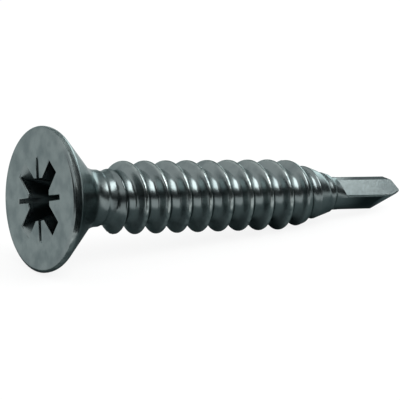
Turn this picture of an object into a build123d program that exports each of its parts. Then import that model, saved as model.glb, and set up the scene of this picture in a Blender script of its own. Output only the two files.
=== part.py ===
from build123d import *
import math
import os

# A self drilling screw in one piece: a flat countersunk head with a type Z
# cross recess, a plain neck, a coarse right-hand tapping thread and a pinched
# drill point with two flutes.
#
# Sizes are in millimetres and angles in degrees. Each feature is made in the
# screw's own frame, with the head's flat face on z = 0 and +Z along the shank
# to the tip. Angles round the shank start at a wing of the recess and grow in
# the direction in which the screw is driven. The finished screw is then laid
# down as it rests on a table, on its rim and on its last crest, with the tip
# towards +X and the origin at the bottom centre of its box.

# Head
head_radius = 4.0
rim_band = 0.48
rim_face_round = 0.22
rim_back_round = 0.2
head_half_angle = 45.0
under_head_fillet = 1.5

# Neck and threaded core
neck_radius = 1.59
neck_length = 0.04
neck_step = 0.12
unthreaded_length = 0.48
root_radius = 1.51
core_taper_length = 2.2
core_end_radius = 1.12

# Thread
thread_pitch = 1.4
thread_crest_radius = 2.06
thread_crest_width = 0.1
thread_flank_half_angle = 30.0
thread_run_in = 0.6
thread_run_out = 2.95
thread_phase = -155.0
foot_share_of_pitch = 0.45

# Drill point
screw_length = 24.9
drill_length = 5.5
drill_radius = 0.98
drill_step = 0.15
flute_length = 5.1
flute_run_out_angle = 40.0
flute_phase = -59.0
flute_opening = 114.0
flute_past_axis = 0.2
half_web = 0.14
lip_half_angle = 54.0
short_lip_half_angle = 22.0
lip_relief_angle = 38.0

# Type Z cross recess
recess_depth = 2.1
wing_reach = 2.4
wing_reach_at_floor = 1.15
wing_width = 1.0
wing_width_at_floor = 0.7
pit_half_width = 1.15
pit_half_width_at_floor = 0.75
pit_cone_depth = 0.35
tick_reach = 2.35
tick_width = 0.26
tick_depth = 1.5

# Lying on a table
roll = 29.0

# Worked out from the sizes above
cone_end = rim_band + (head_radius - neck_radius) / math.tan(math.radians(head_half_angle))
fillet_end = cone_end + under_head_fillet * math.tan(math.radians(head_half_angle / 2))
neck_end = fillet_end + neck_length
core_start = neck_end + neck_step
thread_start = core_start + unthreaded_length
thread_end = screw_length - drill_length
thread_full_end = thread_end - thread_run_out
core_taper_start = thread_end - core_taper_length
flute_start = screw_length - flute_length
flank_slope = math.tan(math.radians(thread_flank_half_angle))
half_foot = foot_share_of_pitch * thread_pitch
foot_radius = thread_crest_radius - (half_foot - thread_crest_width / 2) / flank_slope
ridge_start = thread_start - half_foot
shank_bottom = thread_start - thread_pitch
shank_top = thread_end + 2 * thread_pitch
turn_overlap = 0.02
far = 4 * head_radius
half_turn = 180.0
quarter_turn = 90.0


def turned(*points):
    """The solid that a closed outline of (radius, z) points sweeps round the axis."""
    return revolve(Plane.XZ * make_face(Polyline(*points, close=True)), Axis.Z)


def head_and_neck():
    """The countersunk head, its rounded rim and the fillet that runs into the neck."""
    edge = FilletPolyline(
        (0, 0),
        (head_radius, 0),
        (head_radius, rim_band),
        (neck_radius, cone_end),
        (neck_radius, neck_end),
        radius=[rim_face_round, rim_back_round, under_head_fillet],
    )
    inside = Polyline((neck_radius, neck_end), (root_radius, core_start), (0, core_start), (0, 0))
    return revolve(Plane.XZ * make_face([edge, inside]), Axis.Z)


def ridge_turn():
    """One turn of the helical ridge, a hair longer than a turn so that turns join."""
    over = thread_crest_radius + thread_crest_width / 2
    half_over = thread_crest_width / 2 * (1 - flank_slope)
    section = Polyline(
        (foot_radius, -half_foot),
        (over, -half_over),
        (over, half_over),
        (foot_radius, half_foot),
        close=True,
    )
    line = Helix(thread_pitch, thread_pitch + turn_overlap, foot_radius)
    turn = sweep(Plane.XZ * make_face(section), path=line, is_frenet=True)
    return Rot(0, 0, thread_phase) * turn


def threaded_shank():
    """The core with its ridge, trimmed so that the ridge grows, runs full and fades."""
    shank = turned(
        (0, shank_bottom),
        (root_radius, shank_bottom),
        (root_radius, core_taper_start),
        (core_end_radius, thread_end),
        (core_end_radius, shank_top),
        (0, shank_top),
    )
    turn = ridge_turn()
    for count in range(math.ceil((thread_end - ridge_start) / thread_pitch)):
        shank += Pos(0, 0, ridge_start + count * thread_pitch) * turn
    envelope = turned(
        (0, shank_bottom),
        (root_radius, shank_bottom),
        (root_radius, thread_start),
        (thread_crest_radius, thread_start + thread_run_in),
        (thread_crest_radius, thread_full_end),
        (core_end_radius, thread_end),
        (0, thread_end),
    )
    return shank & envelope


def drill_blank():
    """The round blank that the drill point is pinched from."""
    return turned(
        (0, thread_end - drill_step),
        (core_end_radius, thread_end - drill_step),
        (core_end_radius, thread_end),
        (drill_radius, thread_end + drill_step),
        (drill_radius, screw_length),
        (0, screw_length),
    )


def flute():
    """The wedge that one flute takes away, with its slanted run-out."""
    opening = math.radians(flute_opening)
    wedge = Pos(-flute_past_axis, half_web) * make_face(Polyline(
        (0, 0),
        (far, 0),
        (far, far),
        (far * math.cos(opening), far * math.sin(opening)),
        close=True,
    ))
    length = screw_length - flute_start
    prism = Pos(0, 0, flute_start - length) * extrude(wedge, 3 * length)
    middle = math.radians(flute_opening / 2)
    slope = math.radians(flute_run_out_angle)
    rise = drill_radius * math.tan(slope)
    run_out = Plane(
        origin=(0, half_web, flute_start + rise),
        z_dir=(math.cos(middle) * math.sin(slope), math.sin(middle) * math.sin(slope), math.cos(slope)),
    )
    return split(prism, bisect_by=run_out, keep=Keep.TOP)


def lip_relief(half_angle):
    """What is ground off behind one cutting lip, down to the plane of its land."""
    fall = math.tan(math.radians(lip_relief_angle))
    land = Plane(
        origin=(0, half_web, screw_length + half_web * fall),
        z_dir=(1 / math.tan(math.radians(half_angle)), -fall, 1),
    )
    size = 8 * drill_radius
    return land * Pos(0, 0, size / 2) * Box(size, size, size)


def drill_point():
    """The drill with two flutes and two relieved cutting lips, one ground back further."""
    point = drill_blank()
    for side, half_angle in ((0, lip_half_angle), (half_turn, short_lip_half_angle)):
        point -= Rot(0, 0, side) * flute()
        point -= Rot(0, 0, side) * lip_relief(half_angle)
    return Rot(0, 0, flute_phase) * point


def recess_cutters():
    """The type Z cross recess: a square pit with a cone, two pairs of wings, four ticks."""
    floor = Pos(0, 0, recess_depth)
    pit = loft([
        Rectangle(2 * pit_half_width, 2 * pit_half_width),
        floor * Rectangle(2 * pit_half_width_at_floor, 2 * pit_half_width_at_floor),
    ])
    cone = turned(
        (0, recess_depth - pit_cone_depth),
        (pit_half_width_at_floor, recess_depth - pit_cone_depth),
        (pit_half_width_at_floor, recess_depth),
        (0, recess_depth + pit_cone_depth),
    )
    wings = loft([
        Rectangle(2 * wing_reach, wing_width),
        floor * Rectangle(2 * wing_reach_at_floor, wing_width_at_floor),
    ])
    tick_side = make_face(Polyline((0, 0), (tick_reach, 0), (0, tick_depth), close=True))
    tick = extrude(Plane.XZ * tick_side, tick_width / 2, both=True)
    cutters = [Rot(0, 0, quarter_turn / 2) * pit, cone, wings, Rot(0, 0, quarter_turn) * wings]
    cutters += [Rot(0, 0, quarter_turn * (count + 0.5)) * tick for count in range(4)]
    return cutters


def envelope_radius(z):
    """The radius of the thread's envelope at a place where the ridge runs full or fades."""
    share = max(0, (z - thread_full_end) / (thread_end - thread_full_end))
    return thread_crest_radius + share * (core_end_radius - thread_crest_radius)


def resting_tilt():
    """How far the tip drops, in degrees, until a crest meets the table under the rim."""
    lowest = ridge_start + (half_turn - roll - thread_phase) / (2 * half_turn) * thread_pitch
    turns = math.floor((thread_end - lowest) / thread_pitch)
    crests = [lowest + count * thread_pitch for count in range(2, turns + 1)]
    return min(
        math.degrees(math.atan2(head_radius - envelope_radius(z), z - rim_band))
        for z in crests
    )


def resting_place(solid):
    """Where the screw's frame lies: resting on z = 0, tip towards +X, box centred."""
    tilt = math.radians(resting_tilt())
    axis = Plane(
        origin=(0, 0, 0),
        x_dir=(math.sin(tilt), 0, math.cos(tilt)),
        z_dir=(math.cos(tilt), 0, -math.sin(tilt)),
    )
    lean = axis.location * Location((0, 0, 0), (0, 0, roll))
    box = (lean * solid).bounding_box()
    return Pos(-box.center().X, -box.center().Y, -box.min.Z) * lean


screw = head_and_neck() + threaded_shank() + drill_point()
for cutter in recess_cutters():
    screw -= cutter
place = resting_place(screw)
screw = place * screw
os.makedirs("parts", exist_ok=True)
export_step(screw, "parts/screw.step")
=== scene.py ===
"""A self drilling screw with a countersunk head, lying as it comes to rest.

Each part of the screw is built upright in its own frame, in millimetres, with the head's
flat face on zero and +Z along the shank to the tip. The parts are joined in one skin, which
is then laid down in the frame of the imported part, in metres.
"""

import logging
import math
from collections.abc import Callable
from dataclasses import dataclass, field
from enum import Enum

import bpy
from mathutils import Matrix, Vector

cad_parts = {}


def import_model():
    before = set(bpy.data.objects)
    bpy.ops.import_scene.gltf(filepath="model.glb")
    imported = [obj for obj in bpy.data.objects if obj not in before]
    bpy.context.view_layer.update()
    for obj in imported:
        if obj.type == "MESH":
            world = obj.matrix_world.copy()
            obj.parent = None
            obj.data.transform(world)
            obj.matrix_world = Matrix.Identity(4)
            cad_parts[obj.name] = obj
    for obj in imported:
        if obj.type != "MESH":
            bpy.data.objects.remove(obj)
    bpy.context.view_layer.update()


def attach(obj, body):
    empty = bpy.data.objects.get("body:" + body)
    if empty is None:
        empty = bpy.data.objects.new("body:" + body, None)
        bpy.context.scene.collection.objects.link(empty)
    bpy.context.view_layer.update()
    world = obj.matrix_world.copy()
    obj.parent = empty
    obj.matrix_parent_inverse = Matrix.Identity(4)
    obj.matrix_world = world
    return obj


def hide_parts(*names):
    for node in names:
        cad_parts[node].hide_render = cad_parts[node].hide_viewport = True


LOG = logging.getLogger("self_drilling_screw")
MM = 0.001
FULL_TURN = 2 * math.pi
FACING_Z = 0.999
MULTIPLY = {"operation": "MULTIPLY"}
MULTIPLY_ADD = {"operation": "MULTIPLY_ADD"}
GREATER = {"operation": "MAXIMUM"}
SMOOTH = {"interpolation_type": "SMOOTHSTEP"}
COLOURS = {"data_type": "RGBA"}


class Element(Enum):
    """What edit mode selects."""

    POINT = "VERT"
    EDGE = "EDGE"
    FACE = "FACE"


def linear(code: str) -> tuple[float, float, float, float]:
    """Turn an sRGB hex colour into the linear colour that a shader takes.

    Args:
        code: Six hex digits, with a leading hash.

    Returns:
        Red, green, blue and an alpha of 1.
    """
    shares = [int(code[start:start + 2], 16) / 255 for start in (1, 3, 5)]
    red, green, blue = [
        share / 12.92 if share <= 0.04045 else ((share + 0.055) / 1.055) ** 2.4 for share in shares
    ]
    return red, green, blue, 1.0


def add_node(
    tree: bpy.types.NodeTree,
    kind: str,
    settings: dict[str, object] | None = None,
    inputs: dict[str | int, object] | None = None,
) -> bpy.types.Node:
    """Add one node with its settings, and link or set each input that is given.

    Args:
        tree: The node tree that the node joins.
        kind: Blender's name for the node's type.
        settings: Attributes of the node to set.
        inputs: Sockets to link or values to set, by the name or number of the input.

    Returns:
        The new node.
    """
    node = tree.nodes.new(kind)
    for name, value in (settings or {}).items():
        setattr(node, name, value)
    for name, value in (inputs or {}).items():
        if isinstance(value, bpy.types.NodeSocket):
            tree.links.new(value, node.inputs[name])
        else:
            node.inputs[name].default_value = value
    return node


def smooth_least(first: float, second: float, blend: float) -> float:
    """The lesser of two heights, rounded over where they come within the blend of each other."""
    share = max(blend - abs(first - second), 0.0) / blend
    return min(first, second) - share * share * blend / 4


def smooth_most(first: float, second: float, blend: float) -> float:
    """The greater of two heights, filled in where they come within the blend of each other."""
    return -smooth_least(-first, -second, blend)


def choose_only(piece: bpy.types.Object) -> None:
    """Leave one object selected and active, out of edit mode.

    Args:
        piece: The object to choose.
    """
    if bpy.context.object and bpy.context.object.mode != "OBJECT":
        bpy.ops.object.mode_set(mode="OBJECT")
    bpy.ops.object.select_all(action="DESELECT")
    piece.select_set(True)
    bpy.context.view_layer.objects.active = piece


def select_in_edit(
    piece: bpy.types.Object, element: Element, wanted: Callable[[Vector], bool]
) -> None:
    """Go to edit mode with only those elements selected whose middle passes a test.

    Args:
        piece: The object to edit.
        element: What to select.
        wanted: Says of a middle point, in the mesh's own frame, whether to select it.
    """
    choose_only(piece)
    bpy.ops.object.mode_set(mode="EDIT")
    bpy.ops.mesh.select_mode(type=element.value)
    bpy.ops.mesh.select_all(action="DESELECT")
    bpy.ops.object.mode_set(mode="OBJECT")
    mesh = piece.data
    if element is Element.POINT:
        for vertex in mesh.vertices:
            vertex.select = wanted(vertex.co)
    elif element is Element.FACE:
        for face in mesh.polygons:
            face.select = wanted(face.center)
    else:
        for edge in mesh.edges:
            first, second = (mesh.vertices[index].co for index in edge.vertices)
            edge.select = wanted((first + second) / 2)
    bpy.ops.object.mode_set(mode="EDIT")


def apply_modifier(piece: bpy.types.Object, kind: str, **settings: object) -> None:
    """Add a modifier with its settings and apply it.

    Args:
        piece: The object that takes the modifier.
        kind: Blender's name for the modifier's type.
        **settings: Attributes of the modifier to set.
    """
    choose_only(piece)
    modifier = piece.modifiers.new(kind.lower(), kind)
    for name, value in settings.items():
        setattr(modifier, name, value)
    bpy.ops.object.modifier_apply(modifier=modifier.name)


def cut_away(piece: bpy.types.Object, cutters: list[bpy.types.Object]) -> None:
    """Take each cutter out of a piece, then delete the cutters.

    Args:
        piece: The closed object to cut.
        cutters: Closed objects, taken away in order.
    """
    for cutter in cutters:
        apply_modifier(piece, "BOOLEAN", operation="DIFFERENCE", solver="EXACT", object=cutter)
        bpy.data.objects.remove(cutter)


def turned_shell(name: str, outline: list[tuple[float, float]], segments: int) -> bpy.types.Object:
    """Draw a round shell ring by ring along +Z, with its first ring closed by a flat cap.

    Args:
        name: The object's name.
        outline: Radius and height of each ring, from the first to the last.
        segments: How many sides each ring has.

    Returns:
        The shell, open at its last ring.
    """
    bpy.ops.object.select_all(action="DESELECT")
    radius, height = outline[0]
    bpy.ops.mesh.primitive_circle_add(
        vertices=segments, radius=radius, fill_type="NGON", location=(0, 0, height)
    )
    shell = bpy.context.object
    shell.name = name
    bpy.ops.object.transform_apply(location=True, rotation=True, scale=True)
    bpy.ops.object.mode_set(mode="EDIT")
    bpy.ops.mesh.select_mode(type="EDGE")
    bpy.ops.mesh.select_all(action="SELECT")
    bpy.ops.mesh.region_to_loop()
    for next_radius, next_height in outline[1:]:
        bpy.ops.mesh.extrude_edges_move(
            TRANSFORM_OT_translate={"value": (0, 0, next_height - height)}
        )
        share = next_radius / radius
        bpy.ops.transform.resize(value=(share, share, 1), center_override=(0, 0, next_height))
        radius, height = next_radius, next_height
    bpy.ops.object.mode_set(mode="OBJECT")
    return shell


def close_shell(shell: bpy.types.Object) -> None:
    """Close a shell's open ring with a flat cap and point its faces outwards.

    Args:
        shell: A shell with one open ring.
    """
    choose_only(shell)
    bpy.ops.object.mode_set(mode="EDIT")
    bpy.ops.mesh.select_all(action="DESELECT")
    bpy.ops.mesh.select_non_manifold()
    bpy.ops.mesh.edge_face_add()
    bpy.ops.mesh.select_all(action="SELECT")
    bpy.ops.mesh.normals_make_consistent(inside=False)
    bpy.ops.object.mode_set(mode="OBJECT")


def keep_one_side(piece: bpy.types.Object, height: float, above: bool) -> None:
    """Cut a piece square to the axis and leave it open there.

    Args:
        piece: The object to cut.
        height: Where to cut.
        above: Whether to keep what is above the cut, and otherwise what is below it.
    """
    choose_only(piece)
    bpy.ops.object.mode_set(mode="EDIT")
    bpy.ops.mesh.select_all(action="SELECT")
    bpy.ops.mesh.bisect(
        plane_co=(0, 0, height), plane_no=(0, 0, 1), clear_inner=above, clear_outer=not above
    )
    bpy.ops.object.mode_set(mode="OBJECT")


def arc(
    middle: tuple[float, float], radius: float, start: float, end: float, steps: int
) -> list[tuple[float, float]]:
    """Lay points along an arc in an outline.

    Args:
        middle: The arc's centre, as a radius and a height.
        radius: The arc's own radius.
        start: The angle of its first point, in degrees from the outward direction.
        end: The angle of its last point.
        steps: How many chords it has.

    Returns:
        Radius and height of each point.
    """
    points = []
    for step in range(steps + 1):
        angle = math.radians(start + (end - start) * step / steps)
        points.append((middle[0] + radius * math.cos(angle), middle[1] + radius * math.sin(angle)))
    return points


@dataclass
class Head:
    """The countersunk head with its rounded rim, its neck and the type Z cross recess.

    Sizes are in millimetres and degrees, from the head's flat face along +Z to the tip.
    """

    radius: float = 4.0
    rim_band: float = 0.48
    face_round: float = 0.22
    back_round: float = 0.6
    half_angle: float = 45.0
    fillet: float = 1.5
    neck_radius: float = 1.59
    neck_length: float = 0.04
    neck_step: float = 0.12
    core_radius: float = 1.51
    recess_depth: float = 2.1
    wing_reach: float = 2.4
    wing_reach_at_floor: float = 1.15
    wing_width: float = 1.0
    wing_width_at_floor: float = 0.7
    pit_half_width: float = 1.15
    pit_half_width_at_floor: float = 0.75
    pit_cone_depth: float = 0.35
    tick_reach: float = 2.35
    tick_width: float = 0.26
    tick_depth: float = 1.5
    edge_round: float = 0.07
    edge_steps: int = 3
    segments: int = 128
    arc_steps: int = 8

    def neck_end(self) -> float:
        """Work out where the plain neck ends.

        Returns:
            The height above the head's face.
        """
        slope = math.tan(math.radians(self.half_angle))
        cone_end = self.rim_band + (self.radius - self.neck_radius) / slope
        return cone_end + self.fillet * math.tan(math.radians(self.half_angle / 2)) + self.neck_length

    def open_end(self) -> float:
        """The height at which the shell is left open, a little way along the core."""
        return self.neck_end() + 2 * self.neck_step

    def outline(self) -> list[tuple[float, float]]:
        """Draw the outline from the face to past the shell's open end.

        Returns:
            Radius and height of each ring.
        """
        lean = self.half_angle
        back_height = self.rim_band - self.back_round * math.tan(math.radians(lean / 2))
        face_middle = (self.radius - self.face_round, self.face_round)
        back_middle = (self.radius - self.back_round, back_height)
        fillet_middle = (self.neck_radius + self.fillet, self.neck_end() - self.neck_length)
        return [
            *arc(face_middle, self.face_round, -90, 0, self.arc_steps),
            *arc(back_middle, self.back_round, 0, lean, self.arc_steps),
            *arc(fillet_middle, self.fillet, 180 + lean, 180, 2 * self.arc_steps),
            (self.neck_radius, self.neck_end()),
            (self.core_radius, self.neck_end() + self.neck_step),
            (self.core_radius, self.open_end() + self.neck_step),
        ]

    def wedge(
        self, reach: float, width: float, floor_reach: float, floor_width: float, turn: float
    ) -> bpy.types.Object:
        """Make a cutter with a rectangular mouth that narrows down to the recess floor.

        Args:
            reach: Half its length at the mouth.
            width: Half its width at the mouth.
            floor_reach: Half its length at the floor.
            floor_width: Half its width at the floor.
            turn: How far it is turned round the screw, in degrees.

        Returns:
            The cutter, which stands proud of the face by as much again as it is deep.
        """
        bpy.ops.object.select_all(action="DESELECT")
        depth = self.recess_depth
        bpy.ops.mesh.primitive_cube_add(
            size=1, location=(0, 0, 0), scale=(2 * reach, 2 * width, 2 * depth)
        )
        cutter = bpy.context.object
        bpy.ops.object.transform_apply(location=True, rotation=True, scale=True)
        for place, sign in ((depth, 1), (-depth, -1)):
            select_in_edit(cutter, Element.FACE, lambda middle: abs(middle.z - place) < depth / 2)
            length_share = (reach + sign * (floor_reach - reach)) / reach
            width_share = (width + sign * (floor_width - width)) / width
            bpy.ops.transform.resize(
                value=(length_share, width_share, 1), center_override=(0, 0, place)
            )
        bpy.ops.object.mode_set(mode="OBJECT")
        cutter.rotation_euler.z = math.radians(turn)
        bpy.ops.object.transform_apply(location=True, rotation=True, scale=True)
        return cutter

    def tick(self, turn: float) -> bpy.types.Object:
        """Make a thin cutter whose floor slopes up to nothing at its outer end.

        Args:
            turn: How far it is turned round the screw, in degrees.

        Returns:
            The cutter.
        """
        bpy.ops.object.select_all(action="DESELECT")
        reach, depth = self.tick_reach, self.tick_depth
        bpy.ops.mesh.primitive_cube_add(
            size=1, location=(reach, 0, 0), scale=(2 * reach, self.tick_width, 2 * depth)
        )
        cutter = bpy.context.object
        bpy.ops.object.transform_apply(location=True, rotation=True, scale=True)

        def at_end_of_floor(middle: Vector) -> bool:
            """Whether an edge's middle is on the deep edge at the outer end."""
            return middle.z > depth / 2 and middle.x > 1.5 * reach

        select_in_edit(cutter, Element.EDGE, at_end_of_floor)
        bpy.ops.transform.translate(value=(0, 0, -2 * depth))
        bpy.ops.object.mode_set(mode="OBJECT")
        cutter.rotation_euler.z = math.radians(turn)
        bpy.ops.object.transform_apply(location=True, rotation=True, scale=True)
        return cutter

    def pit_cone(self) -> bpy.types.Object:
        """Make the cutter for the shallow cone at the bottom of the recess.

        Returns:
            The cutter.
        """
        bpy.ops.object.select_all(action="DESELECT")
        bpy.ops.mesh.primitive_cylinder_add(
            vertices=self.segments // 2,
            radius=self.pit_half_width_at_floor,
            depth=2 * self.pit_cone_depth,
            location=(0, 0, self.recess_depth - self.pit_cone_depth),
        )
        cutter = bpy.context.object
        bpy.ops.object.transform_apply(location=True, rotation=True, scale=True)
        top = self.recess_depth - self.edge_round
        select_in_edit(cutter, Element.FACE, lambda middle: middle.z > top)
        bpy.ops.mesh.extrude_region_move(TRANSFORM_OT_translate={"value": (0, 0, self.pit_cone_depth)})
        bpy.ops.mesh.merge(type="CENTER")
        bpy.ops.object.mode_set(mode="OBJECT")
        return cutter

    def build(self) -> bpy.types.Object:
        """Build the head and neck with the recess cut into them.

        Returns:
            The shell, open where the core starts.
        """
        head = turned_shell("head", self.outline(), self.segments)
        close_shell(head)
        wing = (
            self.wing_reach,
            self.wing_width / 2,
            self.wing_reach_at_floor,
            self.wing_width_at_floor / 2,
        )
        pit = (self.pit_half_width, self.pit_half_width) + (self.pit_half_width_at_floor,) * 2
        cutters = [self.wedge(*pit, 45), self.pit_cone(), self.wedge(*wing, 0), self.wedge(*wing, 90)]
        cutters += [self.tick(45 + 90 * count) for count in range(4)]
        cut_away(head, cutters)
        self.round_mouth(head)
        keep_one_side(head, self.open_end(), above=False)
        LOG.info("head: %d faces", len(head.data.polygons))
        return head

    def round_mouth(self, head: bpy.types.Object) -> None:
        """Round the edges at which the recess breaks the flat face.

        Args:
            head: The head with its recess cut.
        """
        inner = (self.wing_reach + self.radius) / 2
        hair = self.edge_round / 100
        choose_only(head)
        bpy.ops.object.mode_set(mode="EDIT")
        bpy.ops.mesh.select_mode(type="EDGE")
        bpy.ops.mesh.select_all(action="DESELECT")
        bpy.ops.object.mode_set(mode="OBJECT")
        mesh = head.data
        level = {
            face.index
            for face in mesh.polygons
            if abs(face.center.z) < hair and abs(face.normal.z) > FACING_Z
        }
        beside: dict[tuple[int, int], int] = {}
        for face in mesh.polygons:
            for key in face.edge_keys:
                beside[key] = beside.get(key, 0) + (face.index in level)
        for edge in mesh.edges:
            ends = [mesh.vertices[index].co for index in edge.vertices]
            near = all(math.hypot(end.x, end.y) < inner and abs(end.z) < hair for end in ends)
            edge.select = near and beside[edge.key] == 1
        bpy.ops.object.mode_set(mode="EDIT")
        bpy.ops.mesh.bevel(offset=self.edge_round, segments=self.edge_steps, clamp_overlap=False)
        bpy.ops.object.mode_set(mode="OBJECT")


@dataclass
class Thread:
    """The rolled tapping thread on its core, which fades in at the neck and out at the drill.

    Sizes are in millimetres and degrees. A turn's section has its points closest together on
    the flank, which lies between flank_start and flank_end along the axis from the crest.
    """

    pitch: float = 1.4
    crest_radius: float = 2.06
    crest_width: float = 0.2
    flank_half_angle: float = 30.0
    core_radius: float = 1.51
    core_end_radius: float = 1.12
    core_taper_length: float = 2.2
    start: float = 4.15
    run_in: float = 0.6
    run_out: float = 2.95
    end: float = 19.4
    phase: float = -155.0
    foot_share: float = 0.45
    crest_round: float = 0.14
    root_round: float = 0.22
    flank_start: float = 0.12
    flank_end: float = 0.44
    crest_steps: int = 3
    flank_steps: int = 7
    root_steps: int = 2
    steps: int = 128
    spare_turns: int = 2

    def ridge_start(self) -> float:
        """The height at which the ridge's middle line passes the thread's phase."""
        return self.start - self.foot_share * self.pitch

    def core_at(self, height: float) -> float:
        """The core's radius at a height."""
        share = (height - (self.end - self.core_taper_length)) / self.core_taper_length
        return self.core_radius + min(max(share, 0), 1) * (self.core_end_radius - self.core_radius)

    def limit_at(self, height: float) -> float:
        """Work out how far out the ridge may reach where it fades in and out.

        Args:
            height: The height above the head's face.

        Returns:
            The greatest radius there.
        """
        swell = self.crest_radius - self.core_radius
        fall = self.crest_radius - self.core_end_radius
        grown = self.core_radius + (height - self.start) / self.run_in * swell
        faded = self.core_end_radius + (self.end - height) / self.run_out * fall
        limit = min(grown, faded, self.crest_radius)
        return smooth_most(limit, self.core_at(height), self.crest_round)

    def radius_at(self, height: float, off_crest: float) -> float:
        """Work out the surface's radius at one point.

        Args:
            height: The height above the head's face.
            off_crest: The distance along the axis from the nearest crest.

        Returns:
            The radius, with crest and root rounded.
        """
        slope = math.tan(math.radians(self.flank_half_angle))
        core = self.core_at(height)
        ridge = self.crest_radius - (abs(off_crest) - self.crest_width / 2) / slope
        ridge = smooth_least(ridge, self.crest_radius, self.crest_round)
        ridge = smooth_most(ridge, core, self.root_round)
        limit = self.limit_at(height)
        blend = min(self.crest_round, limit - core)
        if blend <= 0 or limit >= self.crest_radius:
            return min(ridge, limit)
        return smooth_least(ridge, limit, blend)

    def stations(self) -> list[float]:
        """Space out the points of a turn's section.

        Returns:
            The distance of each point from the crest, along the axis.
        """
        half = self.pitch / 2
        spans = (
            (0.0, self.flank_start, self.crest_steps),
            (self.flank_start, self.flank_end, self.flank_steps),
            (self.flank_end, half, self.root_steps),
        )
        reach = []
        for start, end, steps in spans:
            reach += [start + (end - start) * step / steps for step in range(steps)]
        return [-half] + [-place for place in reversed(reach[1:])] + reach + [half]

    def build(self) -> bpy.types.Object:
        """Build the threaded tube.

        Returns:
            The tube, open at both ends.
        """
        places = self.stations()
        bpy.ops.object.select_all(action="DESELECT")
        bpy.ops.mesh.primitive_grid_add(
            x_subdivisions=1, y_subdivisions=len(places) - 1, size=1, location=(0, 0, 0)
        )
        thread = bpy.context.object
        thread.name = "thread"
        select_in_edit(thread, Element.POINT, lambda middle: middle.x < 0)
        bpy.ops.mesh.delete(type="VERT")
        bpy.ops.object.mode_set(mode="OBJECT")
        full_height = (self.start + self.end) / 2
        lowest = self.ridge_start() - self.spare_turns * self.pitch
        turn = math.radians(self.phase)
        chain = sorted(thread.data.vertices, key=lambda vertex: vertex.co.y)
        for vertex, place in zip(chain, places):
            radius = self.radius_at(full_height, place)
            vertex.co = (radius * math.cos(turn), radius * math.sin(turn), lowest + place)
        turns = math.ceil((self.end - lowest) / self.pitch) + self.spare_turns
        apply_modifier(
            thread,
            "SCREW",
            axis="Z",
            angle=FULL_TURN,
            screw_offset=self.pitch,
            iterations=turns,
            steps=self.steps,
            render_steps=self.steps,
            use_merge_vertices=True,
            merge_threshold=self.crest_width / 100,
            use_normal_calculate=True,
        )
        self.trim(thread)
        self.fade(thread)
        LOG.info("thread: %d faces", len(thread.data.polygons))
        return thread

    def trim(self, thread: bpy.types.Object) -> None:
        """Cut the tube square to the axis a hair before its start and a hair before its end.

        Args:
            thread: The tube, which still runs past both.
        """
        inset = self.crest_width / 4
        choose_only(thread)
        bpy.ops.object.mode_set(mode="EDIT")
        bpy.ops.mesh.select_all(action="SELECT")
        bpy.ops.mesh.remove_doubles(threshold=self.crest_width / 100)
        bpy.ops.mesh.select_all(action="SELECT")
        bpy.ops.mesh.bisect(plane_co=(0, 0, self.start - inset), plane_no=(0, 0, 1), clear_inner=True)
        bpy.ops.mesh.select_all(action="SELECT")
        bpy.ops.mesh.bisect(plane_co=(0, 0, self.end - inset), plane_no=(0, 0, 1), clear_outer=True)
        bpy.ops.object.mode_set(mode="OBJECT")

    def fade(self, thread: bpy.types.Object) -> None:
        """Bring each point to its true radius, so that the ridge fades and the core tapers.

        Args:
            thread: The trimmed tube.
        """
        for vertex in thread.data.vertices:
            angle = math.atan2(vertex.co.y, vertex.co.x)
            crest = self.ridge_start() + (angle - math.radians(self.phase)) / FULL_TURN * self.pitch
            off_crest = (vertex.co.z - crest + self.pitch / 2) % self.pitch - self.pitch / 2
            radius = self.radius_at(vertex.co.z, off_crest)
            share = radius / math.hypot(vertex.co.x, vertex.co.y)
            vertex.co.x *= share
            vertex.co.y *= share


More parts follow.
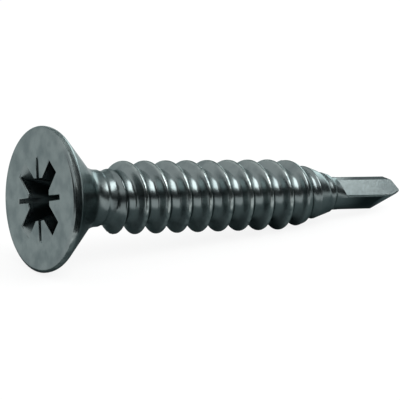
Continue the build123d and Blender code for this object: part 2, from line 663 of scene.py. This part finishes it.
@dataclass
class DrillPoint:
    """The pinched drill point with its two flutes and two relieved cutting lips.

    Sizes are in millimetres and degrees. The half angles are measured from the axis.
    """

    top: float = 19.4
    top_radius: float = 1.12
    tip: float = 24.9
    radius: float = 0.98
    step: float = 0.15
    flute_length: float = 5.1
    run_out_angle: float = 40.0
    phase: float = -59.0
    opening: float = 114.0
    past_axis: float = 0.2
    half_web: float = 0.14
    lip_half_angle: float = 54.0
    short_lip_half_angle: float = 22.0
    relief_angle: float = 38.0
    corner_half_angle: float = 20.0
    corner_reach: float = 0.75
    edge_round: float = 0.035
    edge_steps: int = 2
    edge_angle: float = 50.0
    segments: int = 128

    def build(self) -> bpy.types.Object:
        """Build the drill point.

        Returns:
            The shell, open where it meets the threaded core.
        """
        corner = self.step / 5
        outline = [
            (self.top_radius, self.top - self.step),
            (self.top_radius, self.top),
            (self.radius + corner, self.top + self.step - corner),
            (self.radius, self.top + self.step + corner),
            (self.radius, self.tip),
        ]
        drill = turned_shell("drill_point", outline, self.segments)
        close_shell(drill)
        cutters = []
        for side, half_angle in ((0, self.lip_half_angle), (180, self.short_lip_half_angle)):
            cutters += [self.flute(side), self.lip_relief(side, half_angle, 0.0)]
        corner_slope = 1 / math.tan(math.radians(self.corner_half_angle))
        lip_slope = 1 / math.tan(math.radians(self.lip_half_angle))
        lift = self.corner_reach * (corner_slope - lip_slope)
        cutters.append(self.lip_relief(0, self.corner_half_angle, lift))
        cut_away(drill, cutters)
        apply_modifier(
            drill,
            "BEVEL",
            width=self.edge_round,
            segments=self.edge_steps,
            limit_method="ANGLE",
            angle_limit=math.radians(self.edge_angle),
            use_clamp_overlap=False,
        )
        keep_one_side(drill, self.top + self.step / 3, above=True)
        LOG.info("drill point: %d faces", len(drill.data.polygons))
        return drill

    def block_size(self) -> float:
        """The side of a cube that is large enough to cut with."""
        return 16 * self.radius

    def block(self) -> bpy.types.Object:
        """Add a cube to make a cutter from.

        Returns:
            The cube, centred on the origin.
        """
        bpy.ops.object.select_all(action="DESELECT")
        bpy.ops.mesh.primitive_cube_add(size=self.block_size(), location=(0, 0, 0))
        return bpy.context.object

    def flute(self, side: float) -> bpy.types.Object:
        """Make the wedge that one flute takes away, with its slanted run-out.

        Args:
            side: How far it is turned round the screw past the drill's phase, in degrees.

        Returns:
            The cutter.
        """
        opening = math.radians(self.opening)
        wedge = self.block()
        choose_only(wedge)
        corner = Vector((-self.past_axis, self.half_web, 0))
        wedge.location = (0, 0, self.tip)
        bpy.ops.object.transform_apply(location=True, rotation=True, scale=True)
        middle = opening / 2
        slope = math.radians(self.run_out_angle)
        start = self.tip - self.flute_length + self.radius * math.tan(slope)
        run_out = Vector((
            math.cos(middle) * math.sin(slope),
            math.sin(middle) * math.sin(slope),
            math.cos(slope),
        ))
        walls = (
            (corner, Vector((0, 1, 0))),
            (corner, Vector((math.sin(opening), -math.cos(opening), 0))),
            (Vector((0, self.half_web, start)), run_out),
        )
        bpy.ops.object.mode_set(mode="EDIT")
        for place, inward in walls:
            bpy.ops.mesh.select_all(action="SELECT")
            bpy.ops.mesh.bisect(plane_co=place, plane_no=inward, use_fill=True, clear_inner=True)
        bpy.ops.mesh.select_all(action="SELECT")
        bpy.ops.mesh.normals_make_consistent(inside=False)
        bpy.ops.object.mode_set(mode="OBJECT")
        wedge.rotation_euler.z = math.radians(self.phase + side)
        bpy.ops.object.transform_apply(location=True, rotation=True, scale=True)
        return wedge

    def lip_relief(self, side: float, half_angle: float, lift: float) -> bpy.types.Object:
        """Make what is ground off behind one cutting lip.

        Args:
            side: How far it is turned round the screw past the drill's phase, in degrees.
            half_angle: The angle between the lip and the axis, in degrees.
            lift: How far past the tip its plane is lifted. At 0 it grinds the whole lip, and
                past 0 only the lip's outer corner.

        Returns:
            The cutter.
        """
        fall = math.tan(math.radians(self.relief_angle))
        block = self.block()
        choose_only(block)
        place = Vector((0, self.half_web, self.tip + self.half_web * fall + lift))
        outward = Vector((1 / math.tan(math.radians(half_angle)), -fall, 1)).normalized()
        facing = outward.to_track_quat("Z", "Y").to_matrix().to_4x4()
        block.matrix_world = Matrix.Translation(place + outward * self.block_size() / 2) @ facing
        bpy.ops.object.transform_apply(location=True, rotation=True, scale=True)
        block.rotation_euler.z = math.radians(self.phase + side)
        bpy.ops.object.transform_apply(location=True, rotation=True, scale=True)
        return block


@dataclass
class Screw:
    """The whole screw: head, thread and drill point joined in one skin and laid down.

    The tilt and the smoothing angle are in degrees, and so is the roll about the screw's own
    axis. The origin is the middle of the head's flat face once the screw is laid down, and
    joint_reach is how far from a joint its two open rings lie at most, both in millimetres.
    """

    head: Head = field(default_factory=Head)
    thread: Thread = field(default_factory=Thread)
    drill: DrillPoint = field(default_factory=DrillPoint)
    tilt: float = 7.1655
    roll: float = 29.0
    origin: tuple[float, float, float] = (-12.129, 0.0, 4.035)
    smooth_angle: float = 50.0
    joint_reach: float = 0.6

    def build(self) -> bpy.types.Object:
        """Build the screw in the frame in which it rests.

        Returns:
            The closed skin, smoothly shaded.
        """
        head = self.head.build()
        screw = self.bridge(head, self.thread.build(), self.thread.start)
        screw = self.bridge(screw, self.drill.build(), self.thread.end)
        screw.name = "screw_in_zinc_plate"
        screw.data.name = screw.name
        self.lay_down(screw)
        choose_only(screw)
        bpy.ops.object.shade_smooth_by_angle(angle=math.radians(self.smooth_angle))
        apply_modifier(screw, "WEIGHTED_NORMAL", keep_sharp=True)
        LOG.info("screw: %d faces in one skin", len(screw.data.polygons))
        return screw

    def bridge(
        self, first: bpy.types.Object, second: bpy.types.Object, height: float
    ) -> bpy.types.Object:
        """Join two shells and close the gap between their open rings.

        Args:
            first: The shell that keeps its name.
            second: The shell that joins it.
            height: About where their open rings face each other.

        Returns:
            The joined shell.
        """
        choose_only(first)
        second.select_set(True)
        bpy.ops.object.join()
        bpy.ops.object.mode_set(mode="EDIT")
        bpy.ops.mesh.select_mode(type="EDGE")
        bpy.ops.mesh.select_all(action="DESELECT")
        bpy.ops.mesh.select_non_manifold()
        bpy.ops.object.mode_set(mode="OBJECT")
        for edge in first.data.edges:
            middle = sum((first.data.vertices[index].co for index in edge.vertices), Vector()) / 2
            edge.select = edge.select and abs(middle.z - height) < self.joint_reach
        bpy.ops.object.mode_set(mode="EDIT")
        bpy.ops.mesh.bridge_edge_loops()
        bpy.ops.mesh.select_all(action="SELECT")
        bpy.ops.mesh.normals_make_consistent(inside=False)
        bpy.ops.object.mode_set(mode="OBJECT")
        return first

    def lay_down(self, screw: bpy.types.Object) -> None:
        """Turn the screw as it rests on its rim and last crest, and scale it to metres.

        Args:
            screw: The upright skin. It ends with its box's bottom centre on the origin.
        """
        tilt = math.radians(self.tilt)
        along = Vector((math.cos(tilt), 0, -math.sin(tilt)))
        up = Vector((math.sin(tilt), 0, math.cos(tilt)))
        lean = Matrix((up, along.cross(up), along)).transposed().to_4x4()
        choose_only(screw)
        roll = Matrix.Rotation(math.radians(self.roll), 4, "Z")
        screw.matrix_world = Matrix.Scale(MM, 4) @ lean @ roll
        bpy.ops.object.transform_apply(location=True, rotation=True, scale=True)
        corners = [Vector(corner) for corner in screw.bound_box]
        low = Vector([min(corner[axis] for corner in corners) for axis in range(3)])
        high = Vector([max(corner[axis] for corner in corners) for axis in range(3)])
        screw.location = (-(low.x + high.x) / 2, -(low.y + high.y) / 2, -low.z)
        bpy.ops.object.transform_apply(location=True, rotation=True, scale=True)

    def dress(self, screw: bpy.types.Object) -> None:
        """Give the skin its plate."""
        screw.data.materials.append(PassivatedZinc().build(self))


@dataclass(frozen=True)
class PlatingFrame:
    """The plate's node tree and the sockets that say where on the screw a point is.

    Place, radius and depth are in millimetres in the screw's own frame, and shank is 1 past
    the neck. Patches and grain are the two noises that several of the plate's effects share.
    """

    tree: bpy.types.NodeTree
    place: bpy.types.NodeSocket
    radius: bpy.types.NodeSocket
    depth: bpy.types.NodeSocket
    shank: bpy.types.NodeSocket
    patches: bpy.types.NodeSocket
    grain: bpy.types.NodeSocket


@dataclass(frozen=True)
class PassivatedZinc:
    """Dark passivated zinc plate on case-hardened steel, cold formed and barrel plated.

    The plate is thin and semi-bright: it keeps the dull grain of the formed steel, so a lamp
    shows as a soft streak. The passivate lies in faint cloudy patches. Tumbling in the barrel
    has rubbed the crests and the rim a little brighter and smoother; on the rim the lighter
    colour is also a painted highlight. The recess is painted darker with depth and the roots a
    little darker, both painted shade, and the drill's outside beside the flutes is painted dark
    as painted shade. Rolling leaves fine rings round the shank.

    Lengths are in millimetres. A span is where an effect starts and where it is full.
    """

    name: str = "dark_passivated_zinc_on_steel"
    colour: str = "#7c8686"
    # Cloudy passivate, and painted shade in the thread's roots.
    cloud_and_root_shade_colour: str = "#697374"
    # Rubbed plate, lighter on the crests and the rim; on the rim it is also a painted highlight.
    rubbed_and_highlight_colour: str = "#929c9b"
    # Painted shade: the recess is drawn darker with depth.
    recess_shade_colour: str = "#505a5b"
    # Painted shade: the drill's outside beside the flutes is drawn dark.
    land_shade_colour: str = "#394142"
    edge_tint: str = "#b9c2c2"
    cloud_size: float = 1.1
    cloud_span: tuple[float, float] = (0.35, 0.7)
    patch_size: float = 0.35
    rubbed_span: tuple[float, float] = (0.35, 0.6)
    # The real grain is about 0.02 mm and is drawn this coarse so that it shows.
    grain_size: float = 0.12
    # Real rolling marks are about 0.03 mm apart and are drawn this far apart to show.
    ring_spacing: float = 0.1
    ring_length: float = 2.0
    # Painted shade: the thread's roots are drawn this much darker.
    root_shade: float = 0.35
    recess_span: tuple[float, float] = (0.05, 0.6)
    recess_margin: tuple[float, float] = (0.12, 0.02)
    recess_slope_share: float = 0.9
    land_width: float = 0.2
    land_blur: float = 0.03
    roughness: float = 0.25
    roughness_spread: float = 0.1
    patch_share: float = 0.6
    grain_share: float = 0.4
    rubbed_share: float = -0.5
    recess_share: float = 1.0
    patch_relief: float = 2.0
    bump_height: float = 0.0018

    def build(self, screw: Screw) -> bpy.types.Material:
        """Build the material, its pattern laid along the screw's own axis.

        Args:
            screw: The screw, for how it lies and for the sizes of its features.

        Returns:
            The material.
        """
        material = bpy.data.materials.new(self.name)
        material.use_nodes = True
        tree = material.node_tree
        tree.nodes.clear()
        frame = self.lay_out(tree, screw)
        rubbed = self.rubbed(frame, screw)
        recess = self.in_recess(frame, screw.head)
        layers = (
            (self.cloudy(frame, screw.thread), self.cloud_and_root_shade_colour),
            (rubbed, self.rubbed_and_highlight_colour),
            (recess, self.recess_shade_colour),
            (self.on_land(frame, screw.drill), self.land_shade_colour),
        )
        colour = linear(self.colour)
        for share, over in layers:
            mixed = add_node(tree, "ShaderNodeMix", COLOURS, {0: share, 6: colour, 7: linear(over)})
            colour = mixed.outputs[2]
        height = {
            "Strength": 1.0,
            "Distance": self.bump_height * MM,
            "Height": self.relief(frame),
        }
        bump = add_node(tree, "ShaderNodeBump", {}, height)
        metal = {
            "Base Color": colour,
            "Metallic": 1.0,
            "Specular Tint": linear(self.edge_tint),
            "Roughness": self.rough(frame, rubbed, recess),
            "Normal": bump.outputs[0],
        }
        shader = add_node(tree, "ShaderNodeBsdfPrincipled", {}, metal)
        add_node(tree, "ShaderNodeOutputMaterial", {}, {"Surface": shader.outputs[0]})
        return material

    def lay_out(self, tree: bpy.types.NodeTree, screw: Screw) -> PlatingFrame:
        """Turn object coordinates to the screw's own frame and add the shared noises.

        Args:
            tree: The material's node tree.
            screw: The screw, for how it lies and where its neck ends.

        Returns:
            The sockets that the effects start from.
        """
        turned = {
            "Vector": add_node(tree, "ShaderNodeTexCoord").outputs["Object"],
            "Location": [part * MM for part in screw.origin],
            "Rotation": (0, math.radians(90 + screw.tilt), 0),
            "Scale": (MM, MM, MM),
        }
        place = add_node(tree, "ShaderNodeMapping", {"vector_type": "TEXTURE"}, turned).outputs[0]
        apart = add_node(tree, "ShaderNodeSeparateXYZ", {}, {0: place})
        depth = apart.outputs["Z"]
        across = {"X": apart.outputs["X"], "Y": apart.outputs["Y"]}
        flat = add_node(tree, "ShaderNodeCombineXYZ", {}, across)
        length = add_node(tree, "ShaderNodeVectorMath", {"operation": "LENGTH"}, {0: flat.outputs[0]})
        blotch = {"Vector": place, "Scale": 1 / self.patch_size, "Detail": 2.0}
        speck = {"Vector": place, "Scale": 1 / self.grain_size, "Detail": 3.0}
        neck = screw.head.neck_end()
        start = {"Value": depth, "From Min": neck, "From Max": neck + screw.head.neck_step}
        return PlatingFrame(
            tree=tree,
            place=place,
            radius=length.outputs["Value"],
            depth=depth,
            shank=add_node(tree, "ShaderNodeMapRange", SMOOTH, start).outputs[0],
            patches=add_node(tree, "ShaderNodeTexNoise", {}, blotch).outputs[0],
            grain=add_node(tree, "ShaderNodeTexNoise", {}, speck).outputs[0],
        )

    def cloudy(self, frame: PlatingFrame, thread: Thread) -> bpy.types.NodeSocket:
        """Find where the plate is darker: in faint clouds of passivate, and a little in the roots as
        painted shade.

        Args:
            frame: Where on the screw a point is.
            thread: The thread, for the radius of its crest and root.

        Returns:
            The share of the cloud and root shade colour.
        """
        tree = frame.tree
        billow = {"Vector": frame.place, "Scale": 1 / self.cloud_size, "Detail": 3.0}
        noise = add_node(tree, "ShaderNodeTexNoise", {}, billow).outputs[0]
        low, high = self.cloud_span
        span = {"Value": noise, "From Min": low, "From Max": high}
        fall = {
            "Value": frame.radius,
            "From Min": thread.crest_radius,
            "From Max": thread.core_radius,
            "To Max": self.root_shade,
        }
        clouds = add_node(tree, "ShaderNodeMapRange", SMOOTH, span).outputs[0]
        deep = add_node(tree, "ShaderNodeMapRange", SMOOTH, fall).outputs[0]
        root = add_node(tree, "ShaderNodeMath", MULTIPLY, {0: deep, 1: frame.shank}).outputs[0]
        return add_node(tree, "ShaderNodeMath", GREATER, {0: clouds, 1: root}).outputs[0]

    def rubbed(self, frame: PlatingFrame, screw: Screw) -> bpy.types.NodeSocket:
        """Find where tumbling has rubbed the plate: the crests and the rim's outermost line. On the rim
        the lighter colour is also a painted highlight.

        Args:
            frame: Where on the screw a point is.
            screw: The screw, for its crests, its neck and its rim.

        Returns:
            The share of the rubbed and painted highlight colour, broken up in patches.
        """
        tree, head, thread = frame.tree, screw.head, screw.thread
        inner = thread.crest_radius - (thread.crest_radius - thread.core_radius) / 4
        rim = head.radius - head.face_round / 4
        low, high = self.rubbed_span
        spans = (
            {"Value": frame.radius, "From Min": inner, "From Max": thread.crest_radius},
            {"Value": frame.depth, "From Min": thread.start - head.neck_step, "From Max": thread.start},
            {"Value": frame.radius, "From Min": rim, "From Max": head.radius},
            {"Value": frame.patches, "From Min": low, "From Max": high},
        )
        ridge, past, edge, patchy = [
            add_node(tree, "ShaderNodeMapRange", SMOOTH, span).outputs[0] for span in spans
        ]
        crest = add_node(tree, "ShaderNodeMath", MULTIPLY, {0: ridge, 1: past}).outputs[0]
        worn = add_node(tree, "ShaderNodeMath", GREATER, {0: crest, 1: edge}).outputs[0]
        return add_node(tree, "ShaderNodeMath", MULTIPLY, {0: worn, 1: patchy}).outputs[0]

    def in_recess(self, frame: PlatingFrame, head: Head) -> bpy.types.NodeSocket:
        """Find the inside of the recess, which is painted darker, as painted shade, within a fraction
        of its depth.

        Args:
            frame: Where on the screw a point is.
            head: The head, for the size of its recess.

        Returns:
            The share of the painted recess shade.
        """
        tree = frame.tree
        slope = (head.wing_reach - head.wing_reach_at_floor) / head.recess_depth
        lean = {0: frame.depth, 1: slope * self.recess_slope_share, 2: frame.radius}
        outside = add_node(tree, "ShaderNodeMath", MULTIPLY_ADD, lean).outputs[0]
        far, near = [head.wing_reach + margin for margin in self.recess_margin]
        shallow, full = self.recess_span
        spans = (
            {"Value": outside, "From Min": far, "From Max": near},
            {"Value": frame.depth, "From Min": shallow, "From Max": full},
        )
        inside, deep = [
            add_node(tree, "ShaderNodeMapRange", SMOOTH, span).outputs[0] for span in spans
        ]
        return add_node(tree, "ShaderNodeMath", MULTIPLY, {0: inside, 1: deep}).outputs[0]

    def on_land(self, frame: PlatingFrame, drill: DrillPoint) -> bpy.types.NodeSocket:
        """Find the drill's outside beside its flutes, which is painted dark as painted shade.

        Args:
            frame: Where on the screw a point is.
            drill: The drill point, for its radius and the length of its flutes.

        Returns:
            The share of the painted land shade.
        """
        tree = frame.tree
        inner = drill.radius - self.land_width
        start = drill.tip - drill.flute_length
        spans = (
            {
                "Value": frame.radius,
                "From Min": inner - self.land_blur,
                "From Max": inner + self.land_blur,
            },
            {"Value": frame.depth, "From Min": start, "From Max": start + 2 * drill.radius},
        )
        outer, fluted = [
            add_node(tree, "ShaderNodeMapRange", SMOOTH, span).outputs[0] for span in spans
        ]
        return add_node(tree, "ShaderNodeMath", MULTIPLY, {0: outer, 1: fluted}).outputs[0]

    def rough(
        self, frame: PlatingFrame, rubbed: bpy.types.NodeSocket, recess: bpy.types.NodeSocket
    ) -> bpy.types.NodeSocket:
        """Work out the roughness, which varies in patches and in the grain.

        Args:
            frame: Where on the screw a point is.
            rubbed: Where the plate is rubbed, and so smoother.
            recess: Where the recess is, and so rougher.

        Returns:
            The roughness.
        """
        rough = self.roughness - self.roughness_spread / 2
        shares = (
            (frame.patches, self.patch_share),
            (frame.grain, self.grain_share),
            (rubbed, self.rubbed_share),
            (recess, self.recess_share),
        )
        for value, share in shares:
            term = {0: value, 1: share * self.roughness_spread, 2: rough}
            rough = add_node(frame.tree, "ShaderNodeMath", MULTIPLY_ADD, term).outputs[0]
        return rough

    def relief(self, frame: PlatingFrame) -> bpy.types.NodeSocket:
        """Draw the fine relief: the grain of the formed steel, and rings round the shank.

        Args:
            frame: Where on the screw a point is.

        Returns:
            The height that the bump reads.
        """
        tree = frame.tree
        round_about = 1 / self.ring_length
        draw = {"Vector": frame.place, "Scale": (round_about, round_about, 1 / self.ring_spacing)}
        drawn = add_node(tree, "ShaderNodeMapping", {}, draw).outputs[0]
        fine = {"Vector": drawn, "Scale": 1.0, "Detail": 2.0}
        rings = add_node(tree, "ShaderNodeTexNoise", {}, fine).outputs[0]
        grained = {0: frame.patches, 1: self.patch_relief, 2: frame.grain}
        uneven = add_node(tree, "ShaderNodeMath", MULTIPLY_ADD, grained).outputs[0]
        ringed = {0: rings, 1: frame.shank, 2: uneven}
        return add_node(tree, "ShaderNodeMath", MULTIPLY_ADD, ringed).outputs[0]


@dataclass
class Camera:
    """The camera, by the direction and distance from which it looks at a point.

    Angles are in degrees and lengths in millimetres.
    """

    azimuth: float = -32.44
    elevation: float = 15.14
    distance: float = 116.0
    aim: tuple[float, float, float] = (-1.27, 0.729, 2.256)
    focal_length: float = 181.35
    sensor_width: float = 36.0

    def build(self) -> bpy.types.Object:
        """Place the camera and make it the scene's own.

        Returns:
            The camera.
        """
        data = bpy.data.cameras.new("camera")
        data.lens = self.focal_length
        data.sensor_width = self.sensor_width
        data.clip_start = MM
        camera = bpy.data.objects.new("camera", data)
        bpy.context.scene.collection.objects.link(camera)
        turn, rise = math.radians(self.azimuth), math.radians(self.elevation)
        back = Vector((
            math.sin(turn) * math.cos(rise),
            -math.cos(turn) * math.cos(rise),
            math.sin(rise),
        ))
        camera.location = (Vector(self.aim) + back * self.distance) * MM
        camera.rotation_euler = back.to_track_quat("Z", "Y").to_euler()
        bpy.context.scene.camera = camera
        return camera


@dataclass(frozen=True)
class Lamp:
    """A rectangular softbox, by the direction it hangs in and how bright its face looks.

    Lengths are in metres.
    """

    name: str
    direction: tuple[float, float, float]
    distance: float
    width: float
    height: float
    radiance: float

    def build(self) -> bpy.types.Object:
        """Hang the lamp so that it faces the screw.

        Returns:
            The lamp.
        """
        data = bpy.data.lights.new(self.name, "AREA")
        data.shape = "RECTANGLE"
        data.size = self.width
        data.size_y = self.height
        data.energy = self.radiance * math.pi * self.width * self.height
        lamp = bpy.data.objects.new(self.name, data)
        bpy.context.scene.collection.objects.link(lamp)
        out = Vector(self.direction).normalized()
        lamp.location = out * self.distance
        lamp.rotation_euler = out.to_track_quat("Z", "Y").to_euler()
        return lamp


@dataclass(frozen=True)
class Flag:
    """A dark or grey card that only the metal sees: it shapes a reflection and shades nothing.

    Lengths are in metres and angles in degrees.
    """

    name: str
    place: tuple[float, float, float]
    turn: tuple[float, float, float]
    width: float
    height: float
    colour: str

    def build(self) -> bpy.types.Object:
        """Stand the card in its place, covered in matt cloth.

        Returns:
            The card.
        """
        cloth = bpy.data.materials.new("matt_cloth")
        cloth.use_nodes = True
        cloth.node_tree.nodes.clear()
        weave = add_node(cloth.node_tree, "ShaderNodeBsdfDiffuse", {}, {"Color": linear(self.colour)})
        add_node(cloth.node_tree, "ShaderNodeOutputMaterial", {}, {"Surface": weave.outputs[0]})
        bpy.ops.object.select_all(action="DESELECT")
        turn = [math.radians(angle) for angle in self.turn]
        bpy.ops.mesh.primitive_plane_add(size=1, location=self.place, rotation=turn)
        card = bpy.context.object
        card.name = self.name
        card.scale = (self.width, self.height, 1)
        bpy.ops.object.transform_apply(location=True, rotation=True, scale=True)
        card.data.materials.append(cloth)
        card.visible_camera = False
        card.visible_diffuse = False
        card.visible_shadow = False
        return card


@dataclass
class Studio:
    """White surroundings, a white floor, two softboxes and the cards. Lengths are in metres."""

    floor_size: float = 1.2
    paper: str = "#e9ebeb"
    floor_glow: float = 0.86
    lamps: tuple[Lamp, ...] = (
        Lamp("front_softbox", (0.325, -0.515, 0.79), 0.30, 0.24, 0.21, 4.2),
        Lamp("side_softbox", (0.84, 0.46, 0.24), 0.30, 0.16, 0.08, 3.5),
    )
    flags: tuple[Flag, ...] = (
        Flag("front_flag", (0.05, -0.35, 0.115), (90, 0, 0), 0.90, 0.33, "#1d2223"),
        Flag("right_flag", (0.45, -0.17, 0.085), (90, 0, 90), 0.36, 0.27, "#2a3031"),
        Flag("left_flag", (-0.35, -0.10, 0.085), (90, 0, 90), 0.50, 0.20, "#2a3031"),
        Flag("rim_flag", (-0.0092, -0.0054, 0.0090), (46, 0, 46), 0.0060, 0.0060, "#2a3031"),
        Flag("near_rim_flag", (-0.0099, -0.0070, 0.0032), (90, 0, 35), 0.0054, 0.0066, "#2a3031"),
        Flag("face_round_flag", (-0.0126, -0.0085, 0.0028), (90, 0, -8), 0.0050, 0.0056, "#2a3031"),
        Flag("back_round_flag", (-0.0079, -0.0054, 0.0026), (90, 0, 73), 0.0026, 0.0052, "#2a3031"),
        Flag("ceiling_flag", (0.45, 0.50, 0.40), (0, 0, 0), 0.90, 1.10, "#c8cccc"),
        # Painted shade: this grey card under the screw stands in for the floor's shade there, as the
        # metal sees it.
        Flag("floor_shade_flag", (0.004, 0.001, 0.00002), (0, 0, 0), 0.034, 0.013, "#767f80"),
    )

    def build(self) -> None:
        """Build the surroundings, the floor, the lamps and the cards."""
        self.build_world()
        self.build_floor()
        for lamp in self.lamps:
            lamp.build()
        for flag in self.flags:
            flag.build()
        LOG.info("studio: %d softboxes and %d cards", len(self.lamps), len(self.flags))

    def build_world(self) -> None:
        """Build the white room."""
        world = bpy.data.worlds.new("studio")
        bpy.context.scene.world = world
        world.use_nodes = True
        tree = world.node_tree
        tree.nodes.clear()
        white = add_node(tree, "ShaderNodeBackground", {}, {"Color": (1, 1, 1, 1), "Strength": 1.0})
        add_node(tree, "ShaderNodeOutputWorld", {}, {"Surface": white.outputs[0]})

    def build_floor(self) -> None:
        """Build the floor: white to the camera and in the metal, with the screw's soft shadow."""
        bpy.ops.object.select_all(action="DESELECT")
        bpy.ops.mesh.primitive_plane_add(size=self.floor_size, location=(0, 0, 0))
        floor = bpy.context.object
        floor.name = "floor"
        material = bpy.data.materials.new("white_paper")
        material.use_nodes = True
        tree = material.node_tree
        tree.nodes.clear()
        path = add_node(tree, "ShaderNodeLightPath")
        seen = path.outputs["Is Camera Ray"]
        for ray in ("Is Glossy Ray", "Is Transmission Ray"):
            seen = add_node(tree, "ShaderNodeMath", GREATER, {0: seen, 1: path.outputs[ray]}).outputs[0]
        white = {"Color": (1, 1, 1, 1), "Strength": 1.0}
        glow = add_node(tree, "ShaderNodeEmission", {}, white).outputs[0]
        paper = add_node(tree, "ShaderNodeBsdfDiffuse", {}, {"Color": linear(self.paper)}).outputs[0]
        mixed = {0: self.floor_glow, 1: paper, 2: glow}
        lit = add_node(tree, "ShaderNodeMixShader", {}, mixed).outputs[0]
        surface = add_node(tree, "ShaderNodeMixShader", {}, {0: seen, 1: paper, 2: lit})
        add_node(tree, "ShaderNodeOutputMaterial", {}, {"Surface": surface.outputs[0]})
        floor.data.materials.append(material)


def main() -> None:
    """Build the screw, its finish, the studio and the camera in order."""
    logging.basicConfig(level=logging.INFO)
    bpy.context.scene.view_settings.view_transform = "Standard"
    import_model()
    parts = Screw()
    screw = parts.build()
    parts.dress(screw)
    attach(screw, "root")
    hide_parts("screw")
    Studio().build()
    Camera().build()


if __name__ == "__main__":
    main()
